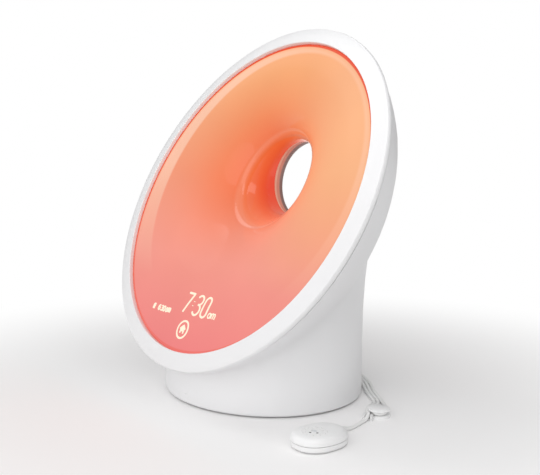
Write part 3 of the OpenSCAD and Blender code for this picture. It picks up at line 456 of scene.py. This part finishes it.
def studio_paper(name, colour):
    """White paper under the clock: it takes the soft shadow and a little of the glow, and further off it
    turns into plain white, so that no edge shows between floor and background."""
    material, tree = new_material(name)
    rays = node(tree, "ShaderNodeLightPath")
    seen = node(tree, "ShaderNodeMath", {0: rays.outputs["Is Camera Ray"], 1: rays.outputs["Is Glossy Ray"]},
        operation="MAXIMUM")
    lift = node(tree, "ShaderNodeMath", {0: seen.outputs[0], 1: 0.05}, operation="MULTIPLY")
    paper = node(tree, "ShaderNodeBsdfDiffuse", {"Color": colour})
    light = node(tree, "ShaderNodeEmission", {"Color": (1, 1, 1, 1), "Strength": lift.outputs[0]})
    near = node(tree, "ShaderNodeAddShader", {0: paper.outputs[0], 1: light.outputs[0]})
    place = node(tree, "ShaderNodeTexCoord").outputs["Object"]
    distance = node(tree, "ShaderNodeVectorMath", {0: place}, operation="LENGTH")
    reach = node(tree, "ShaderNodeMapRange", {"Value": distance.outputs["Value"], "From Min": PAPER_NEAR,
        "From Max": PAPER_FAR}, interpolation_type="SMOOTHSTEP")
    white_out = node(tree, "ShaderNodeMath", {0: reach.outputs[0], 1: seen.outputs[0]},
        operation="MULTIPLY")
    far = node(tree, "ShaderNodeEmission", {"Color": (1, 1, 1, 1), "Strength": 1.0})
    sweep = node(tree, "ShaderNodeMixShader", {0: white_out.outputs[0], 1: near.outputs[0],
        2: far.outputs[0]})
    node(tree, "ShaderNodeOutputMaterial", {"Surface": sweep.outputs[0]})
    return material


# ---- Settings ----
def colour_property(name, description, code):
    return FloatVectorProperty(name=name, description=description, subtype="COLOR", size=3, min=0, max=1,
        default=linear(code)[:3])


class ClockFinish(bpy.types.PropertyGroup):
    shell: colour_property("Housing", "ABS of the rear housing and base", "#EFEFF0")
    ring: colour_property("Ring", "ABS of the ring round the disc", "#EDEDEE")
    sensor: colour_property("Sensor", "ABS of the room sensor", "#F3F3F3")
    lead: colour_property("Lead", "PVC of the sensor's lead", "#F5F5F4")
    glow_top: colour_property("Glow, top", "Light at the top of the disc", "#F5A870")
    glow_mid: colour_property("Glow, middle", "Light half-way up the disc", "#F39570")
    glow_low: colour_property("Glow, low", "Light in the lower third", "#F49888")
    glow_foot: colour_property("Glow, foot", "Light at the disc's foot", "#EF8280")
    # Painted light: the right side of the glow is painted paler
    side_painted_light: colour_property("Glow, right", "Light at the right side", "#F6B07E")
    # The funnel's and throat's glow, painted deeper on the hole's left side as painted shade
    funnel_glow_and_painted_shade: colour_property("Glow, funnel", "Light down the funnel", "#F16A32")
    throat_glow_and_painted_shade: colour_property("Glow, throat", "Light in the hole's throat", "#EC482C")
    # Painted highlight on the shoulder and the lip, and painted glow at the neck's start
    pale_painted_light: colour_property("Glow, shoulder", "Light on the pale shoulder", "#FDCDB2")
    glow_rim: colour_property("Glow, rim", "Thin line at the disc's edge", "#E94A1C")
    # Painted glow and painted shade on the neck behind the throat
    neck_painted_glow: colour_property("Neck, lit", "Neck behind the throat, beside the diffuser", "#E9A28C")
    neck_painted_shade: colour_property("Neck, dim", "End of the neck", "#9A7F78")
    glyph: colour_property("Display", "Lit digits and signs", "#FFF2D6")
    glow_strength: FloatProperty(name="Glow strength", description="Light that the diffuser gives off",
        default=0.74, min=0.0, max=3.0, subtype="FACTOR")


class ClockSizes(bpy.types.PropertyGroup):
    lead_d: FloatProperty(name="Lead", description="Diameter of the sensor's lead",
        default=LEAD_D * MM, min=0.001, max=0.004, unit="LENGTH")
    stroke: FloatProperty(name="Digit stroke", description="Width of a digit's line",
        default=1.3 * MM, min=0.0005, max=0.002, unit="LENGTH")
    winder_edge: FloatProperty(name="Winder's edges", description="Rounding of the winder's edges",
        default=0.2 * MM, min=0.0, max=0.001, unit="LENGTH")
    plug_edge: FloatProperty(name="Plug's edges", description="Rounding of the plug's edges",
        default=0.3 * MM, min=0.0, max=0.001, unit="LENGTH")


class ClockStage(bpy.types.PropertyGroup):
    key: FloatProperty(name="Key light", description="Power of the large soft light in front", default=8.7,
        min=0.0, unit="POWER")
    fill: FloatProperty(name="Room light", description="Strength of the white room", default=0.57,
        min=0.0)
    floor: colour_property("Floor", "Colour of the paper sweep", "#F6F5F5")


# ---- Stage ----
def area_lamp(name, place, size, power, target=None):
    """A square lamp at a place in metres. It faces the target, or else points straight down."""
    deselect()
    bpy.ops.object.light_add(type="AREA", location=place)
    lamp = bpy.context.object
    lamp.name = name
    lamp.data.size = size
    lamp.data.energy = power
    if target is not None:
        lamp.rotation_mode = "QUATERNION"
        lamp.rotation_quaternion = (target - Vector(place)).to_track_quat("-Z", "Y")
    return lamp


def white_room(fill):
    """A world that is plain white to the camera, and lights the clock more from in front."""
    world = bpy.data.worlds.new("white_room")
    world.use_nodes = True
    tree = world.node_tree
    tree.nodes.clear()
    rays = node(tree, "ShaderNodeLightPath")
    seen = node(tree, "ShaderNodeMath", {0: rays.outputs["Is Camera Ray"],
        1: rays.outputs["Is Transmission Ray"]}, operation="MAXIMUM")
    way = node(tree, "ShaderNodeTexCoord").outputs["Generated"]
    front = node(tree, "ShaderNodeVectorMath", {0: way, 1: (0.15, -0.99, 0)}, operation="DOT_PRODUCT")
    level = node(tree, "ShaderNodeMapRange", {"Value": front.outputs["Value"], "From Min": -1.0,
        "From Max": 1.0, "To Min": 0.5 * fill, "To Max": 1.5 * fill})
    strength = node(tree, "ShaderNodeMapRange", {"Value": seen.outputs[0], "To Min": level.outputs[0],
        "To Max": 1.0})
    room = node(tree, "ShaderNodeBackground", {"Color": (1, 1, 1, 1), "Strength": strength.outputs[0]})
    node(tree, "ShaderNodeOutputWorld", {"Surface": room.outputs[0]})
    return world


class CLOCK_OT_stage(bpy.types.Operator):
    """Adds the camera, the soft lights, the white room and the floor"""

    bl_idname = "clock.stage"
    bl_label = "Stage"

    def execute(self, context):
        settings = context.scene.clock_stage
        back = Vector((math.sin(CAMERA_AZIMUTH) * math.cos(CAMERA_ELEVATION),
            -math.cos(CAMERA_AZIMUTH) * math.cos(CAMERA_ELEVATION), math.sin(CAMERA_ELEVATION)))
        bpy.ops.object.camera_add(location=TARGET + back * CAMERA_DISTANCE)
        camera = context.object
        camera.name = "photo_camera"
        camera.rotation_mode = "QUATERNION"
        camera.rotation_quaternion = (-back).to_track_quat("-Z", "Y")
        camera.data.lens = CAMERA_LENS
        camera.data.sensor_width = 36
        camera.data.shift_x, camera.data.shift_y = CAMERA_SHIFT
        camera.data.clip_start = 0.01
        context.scene.camera = camera

        deselect()
        bpy.ops.mesh.primitive_plane_add(size=6, location=(0, 0, 0))
        floor = context.object
        floor.name = "floor"
        floor.data.materials.append(studio_paper("studio_paper", (*settings.floor, 1)))

        for name, place, size, share in SOFTBOXES:
            area_lamp(name, place, size, settings.key * share, TARGET).data.shape = "DISK"
        # A small lamp over the sensor and its winder, which keeps the floor there white
        area_lamp("sensor_lamp", (0.18, -0.02, 0.34), 0.14, settings.key * 0.015)
        # A slim strip on the right, which draws the bright lines down the glossy throat
        strip = area_lamp("strip_light", (0.85, -0.5, 0.8), 0.07, settings.key * 0.06, TARGET)
        strip.data.shape = "RECTANGLE"
        strip.data.size_y = 1.0

        context.scene.world = white_room(settings.fill)
        context.scene.view_settings.view_transform = "Standard"
        return {"FINISHED"}


# ---- The clock's pieces ----
class CLOCK_OT_lead(bpy.types.Operator):
    """Lays the sensor's thin lead along its route"""

    bl_idname = "clock.lead"
    bl_label = "Sensor lead"

    def execute(self, context):
        deselect()
        bpy.ops.curve.primitive_bezier_curve_add()
        lead = context.object
        lead.name = "lead"
        lead.location = (0, 0, 0)
        curve = lead.data
        curve.dimensions = "3D"
        points = curve.splines[0].bezier_points
        points.add(len(LEAD_ROUTE) - len(points))
        route = [Vector(p) * MM for p in LEAD_ROUTE]
        # Handles of a sixth of the way between a point's neighbours give one smooth curve
        for i, point in enumerate(points):
            before = route[i - 1] if i else 2 * route[0] - route[1]
            after = route[i + 1] if i + 1 < len(route) else 2 * route[-1] - route[-2]
            point.handle_left_type = point.handle_right_type = "FREE"
            point.co = route[i]
            point.handle_left = route[i] - (after - before) / 6
            point.handle_right = route[i] + (after - before) / 6
        curve.resolution_u = 6
        curve.bevel_depth = context.scene.clock_sizes.lead_d / 2
        curve.bevel_resolution = 3
        curve.use_fill_caps = True
        curve.materials.append(pvc_sleeve("pvc_lead", (*context.scene.clock_finish.lead, 1)))
        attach(lead, "clock")
        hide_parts("sensor_lead")
        return {"FINISHED"}


class CLOCK_OT_shells(bpy.types.Operator):
    """Dresses the rear housing, the front ring and the base"""

    bl_idname = "clock.shells"
    bl_label = "Housing and ring"

    def execute(self, context):
        finish = context.scene.clock_finish
        shell = moulded_abs("satin_abs_housing", (*finish.shell, 1))
        # Paints glow and shade on the neck behind the throat
        paint_neck_glow_and_shade(shell, finish)
        dressed("rear_housing", "housing", shell, angle=40)
        # The ring is polished smoother than the housing, and its pits have no depth
        ring = moulded_abs("satin_abs_ring", (*finish.ring, 1), 0.36, depth=0.0)
        dressed("front_ring", "ring", ring)
        paint(moulded_abs("satin_abs_plate", (*finish.shell, 1), 0.5), "base_plate", "port_panel")
        paint(soft_rubber("rubber_foot", linear("#4A4A4C")), "foot_pad")
        paint(soft_rubber("silicone_seal", linear("#D9C9C0")), "throat_seal")
        return {"FINISHED"}


class CLOCK_OT_diffuser(bpy.types.Operator):
    """Dresses the glowing diffuser with its off-centre funnel"""

    bl_idname = "clock.diffuser"
    bl_label = "Diffuser"

    def execute(self, context):
        opal = opal_polycarbonate("opal_polycarbonate", context.scene.clock_finish)
        dressed("light_diffuser", "diffuser", opal, angle=50)
        return {"FINISHED"}


# The display, in the disc's frame in millimetres. A row is its signs, each with its left edge and its
# width, then the row's foot and its height
TIME_ROW = ((("7", -9.0, 5.6), (":", -1.4, 1.6), ("3", 2.0, 5.6), ("0", 9.6, 5.3)), -77.0, 12.0)
HALF_DAY_ROW = ((("a", 17.2, 2.4), ("m", 20.6, 3.4)), -76.4, 3.4)
ALARM_ROW = ((("6", -32.4, 1.7), (":", -30.4, 0.6), ("3", -29.3, 1.7), ("0", -27.1, 1.7),
    ("a", -24.2, 1.5), ("m", -22.1, 2.4)), -79.8, 2.9)
# A stroke is laid on the diffuser point by point. These are the points' spacing, and the height
# from which each is dropped onto the face
SAMPLE_STEP = 0.7
RAY_START = 6.0
# How deep a stroke's middle lies under the face, as a share of the line's width, and how wide the
# line is beside its tube
SUNK_SHARE = 0.3
CREST_SHARE = 0.8


def arc(cx, cy, rx, ry, start, end, steps=14):
    """Points of an ellipse's arc, from one angle to another in degrees."""
    angles = [math.radians(start + (end - start) * i / steps) for i in range(steps + 1)]
    return [(cx + rx * math.cos(a), cy + ry * math.sin(a)) for a in angles]


def digit_strokes(sign, x, y, w, h):
    """The strokes of a slim digit or letter whose box starts at x, y."""
    cx, cy, rx = x + w / 2, y + h / 2, w / 2
    table = {
        "7": [[(x, y + h), (x + w, y + h), (x + 0.28 * w, y)]],
        "3": [arc(cx - 0.1 * w, y + 0.76 * h, 0.52 * w, 0.24 * h, 150, -90)
            + arc(cx - 0.1 * w, y + 0.27 * h, 0.56 * w, 0.27 * h, 90, -150)],
        "0": [arc(cx, y + h - rx, rx, rx, 0, 180) + arc(cx, y + rx, rx, rx, 180, 360)
            + [(x + w, y + h - rx)]],
        "6": [arc(cx, y + 0.3 * h, rx, 0.3 * h, 180, 540) + [(x, y + 0.62 * h)]
            + arc(cx, y + h - rx, rx, rx, 180, 30)],
        "a": [arc(cx, y + 0.42 * h, rx, 0.42 * h, 0, 360), [(x + w, y + 0.9 * h), (x + w, y)]],
        "m": [[(x, y), (x, y + 0.9 * h)],
            arc(x + 0.25 * w, y + 0.55 * h, 0.25 * w, 0.35 * h, 180, 0, 8) + [(cx, y)],
            arc(x + 0.75 * w, y + 0.55 * h, 0.25 * w, 0.35 * h, 180, 0, 8) + [(x + w, y)]],
        ":": [[(cx, y + 0.40 * h), (cx + 0.01, y + 0.43 * h)],
            [(cx, y + 0.61 * h), (cx + 0.01, y + 0.64 * h)]],
    }
    return table[sign]


class CLOCK_OT_display(bpy.types.Operator):
    """Draws the lit time, the half-day mark, the alarm row and the home key on the diffuser"""

    bl_idname = "clock.display"
    bl_label = "Display"

    def strokes(self, name, lines, width, material):
        """Round lines sunk in the diffuser's face, so that only their flat crests show."""
        face = bpy.data.objects["diffuser"]
        deselect()
        bpy.ops.curve.primitive_bezier_curve_add()
        drawn = bpy.context.object
        drawn.name = name
        drawn.location = (0, 0, 0)
        curve = drawn.data
        curve.splines.clear()
        curve.dimensions = "3D"
        for line in lines:
            points = []
            for (u, v), (u_next, v_next) in zip(line, line[1:]):
                steps = max(1, math.ceil(math.hypot(u_next - u, v_next - v) / SAMPLE_STEP))
                points += [(u + (u_next - u) * i / steps, v + (v_next - v) * i / steps) for i in range(steps)]
            points.append(line[-1])
            spline = curve.splines.new("POLY")
            spline.points.add(len(points) - 1)
            for point, (u, v) in zip(spline.points, points):
                start = DISC_FRAME @ Vector((u * MM, v * MM, RAY_START * MM))
                hit, place, _, _ = face.ray_cast(start, -OUT_DISC)
                if not hit:
                    raise RuntimeError(f"{name} misses the diffuser at {u}, {v}")
                point.co = (*(place - SUNK_SHARE * width * OUT_DISC), 1)
        # The tube is wider than its line, because only its crest shows
        curve.bevel_depth = width / 2 / CREST_SHARE
        curve.bevel_resolution = 2
        curve.use_fill_caps = True
        activate(drawn)
        bpy.ops.object.convert(target="MESH")
        drawn.data.materials.clear()
        drawn.data.materials.append(material)
        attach(drawn, "clock")

    def execute(self, context):
        material = lit_glyph("display_light", (*context.scene.clock_finish.glyph, 1))
        stroke = context.scene.clock_sizes.stroke
        for name, (signs, foot, height), share in (("time_digits", TIME_ROW, 1.0),
                ("half_day_mark", HALF_DAY_ROW, 0.66), ("alarm_row", ALARM_ROW, 0.75)):
            row = []
            for sign, left, width in signs:
                row += digit_strokes(sign, left, foot, width, height)
            self.strokes(name, row, stroke * share, material)
        bell = [arc(-37.2, -77.7, 0.5, 0.6, 0, 360, 10), [(-38.1, -79.2), (-36.3, -79.2)],
            [(-37.9, -78.5), (-36.5, -78.5)]]
        self.strokes("alarm_sign", bell, stroke * 1.25, material)
        circle = [arc(0, -86.7, 4.9, 5.1, 0, 360, 40)]
        self.strokes("home_circle", circle, stroke * 0.9, material)
        # A gable, two rows of filling under it, two walls, and the lintel between them
        house = [[(-2.4, -86.5), (0, -84.3), (2.4, -86.5)], [(-1.4, -86.5), (1.4, -86.5)],
            [(-0.6, -85.7), (0.6, -85.7)], [(-1.45, -89.0), (-1.45, -86.9)],
            [(1.45, -89.0), (1.45, -86.9)], [(-1.2, -87.3), (1.2, -87.3)]]
        self.strokes("home_sign", house, stroke * 0.9, material)
        return {"FINISHED"}


class CLOCK_OT_sound(bpy.types.Operator):
    """Dresses the loudspeaker's grille, and paints all that is black plastic, soft, ferrite or bare metal"""

    bl_idname = "clock.sound"
    bl_label = "Loudspeaker and ports"

    def execute(self, context):
        finish = context.scene.clock_finish
        grille = moulded_abs("satin_abs_grille", (*finish.shell, 1), 0.45)
        dressed("speaker_grille", "grille", grille, angle=30)
        paint(paper_cone("paper_cone", linear("#26262A")), "speaker_cone")
        paint(soft_rubber("butyl_rubber", linear("#1D1D1F"), 0.6), "speaker_surround")
        paint(soft_rubber("closed_cell_foam", linear("#2B2B2D"), 0.9), "speaker_gasket")
        paint(moulded_abs("black_abs", linear("#1C1C1E"), 0.5), "speaker_frame", "dc_socket",
            "aux_socket", "display_mask", "main_components")
        paint(soft_rubber("sintered_ferrite", linear("#3A3A3C"), 0.65), "speaker_magnet")
        paint(plated_metal("zinc_plate", linear("#C9CBCE"), 0.32), "speaker_yoke", "speaker_screws",
            "panel_screws", "base_screws", "board_screws", "led_screws", "wireless_module")
        paint(plated_metal("nickel_plate", linear("#D6D3CC"), 0.22), "usb_socket", "sensor_socket")
        paint(plated_metal("drawn_copper", linear("#C77B4E"), 0.3), "voice_coil", "touch_foil")
        return {"FINISHED"}


class CLOCK_OT_light_engine(bpy.types.Operator):
    """Gives the hidden light engine and electronics their finishes"""

    bl_idname = "clock.light_engine"
    bl_label = "Light engine"

    def execute(self, context):
        paint(moulded_abs("reflector_abs", linear("#F2F2F0"), 0.6), "reflector_tray", "display_cable")
        paint(solder_mask("white_solder_mask", linear("#E3E5E1")), "led_board")
        paint(solder_mask("green_solder_mask", linear("#1E5B37")), "display_board", "main_board",
            "sensor_board")
        paint(soft_rubber("phosphor_gel", linear("#F0D873"), 0.35), "led_chips")
        paint(plated_metal("rolled_aluminium", linear("#CFD1D4"), 0.38), "heat_spreader")
        return {"FINISHED"}


class CLOCK_OT_sensor(bpy.types.Operator):
    """Dresses the room sensor"""

    bl_idname = "clock.sensor"
    bl_label = "Room sensor"

    def execute(self, context):
        finish = context.scene.clock_finish
        white = moulded_abs("satin_abs_sensor", (*finish.sensor, 1), 0.4)
        top = moulded_abs("satin_abs_sensor_top", (*finish.sensor, 1), 0.4)
        # Painted shade in the pinholes' bores
        paint_pinhole_shade(top)
        dressed("sensor_top_shell", "sensor_top", top, angle=40)
        dressed("sensor_bottom_shell", "sensor_bottom", white, angle=40)
        paint(soft_rubber("rubber_sensor_foot", linear("#4A4A4C")), "sensor_foot")
        paint(moulded_abs("clear_acrylic_lens", linear("#DDE0E3"), 0.12), "sensor_lens")
        paint(pvc_sleeve("pvc_grommet", (*finish.lead, 1)), "sensor_grommet")
        return {"FINISHED"}


class CLOCK_OT_winder(bpy.types.Operator):
    bl_idname = "clock.winder"
    bl_label = "Winder and plug"

    def execute(self, context):
        finish = context.scene.clock_finish
        sizes = context.scene.clock_sizes
        white = moulded_abs("satin_abs_winder", (*finish.sensor, 1), 0.38)
        body = dressed("winder_body", "winder_lower", white, bevel=sizes.winder_edge)
        cap = dressed("winder_cap", "winder_upper", white, bevel=sizes.winder_edge)
        plug_white = moulded_abs("satin_abs_plug", (*finish.sensor, 1), 0.45)
        plug = dressed("sensor_plug", "plug", plug_white, bevel=sizes.plug_edge)
        return {"FINISHED"}


class CLOCK_PT_panel(bpy.types.Panel):
    """Steps and settings of the clock"""

    bl_idname = "CLOCK_PT_panel"
    bl_label = "Sunrise alarm clock"
    bl_space_type = "VIEW_3D"
    bl_region_type = "UI"
    bl_category = "Clock"

    def draw(self, context):
        for step in STEPS:
            self.layout.operator(step.bl_idname)
        for settings in (context.scene.clock_sizes, context.scene.clock_finish, context.scene.clock_stage):
            box = self.layout.box()
            for name in settings.__annotations__:
                box.prop(settings, name)


STEPS = (CLOCK_OT_stage, CLOCK_OT_lead, CLOCK_OT_shells, CLOCK_OT_diffuser, CLOCK_OT_display,
    CLOCK_OT_sound, CLOCK_OT_light_engine, CLOCK_OT_sensor, CLOCK_OT_winder)
CLASSES = (ClockFinish, ClockSizes, ClockStage, *STEPS, CLOCK_PT_panel)


def register():
    for cls in CLASSES:
        bpy.utils.register_class(cls)
    bpy.types.Scene.clock_finish = PointerProperty(type=ClockFinish)
    bpy.types.Scene.clock_sizes = PointerProperty(type=ClockSizes)
    bpy.types.Scene.clock_stage = PointerProperty(type=ClockStage)


def unregister():
    del bpy.types.Scene.clock_stage, bpy.types.Scene.clock_sizes, bpy.types.Scene.clock_finish
    for cls in reversed(CLASSES):
        bpy.utils.unregister_class(cls)


def main():
    register()
    bpy.ops.clock.stage()
    bpy.ops.clock.lead()
    bpy.ops.clock.shells()
    bpy.ops.clock.diffuser()
    bpy.ops.clock.display()
    bpy.ops.clock.sound()
    bpy.ops.clock.light_engine()
    bpy.ops.clock.sensor()
    bpy.ops.clock.winder()
    deselect()


if __name__ == "__main__":
    main()
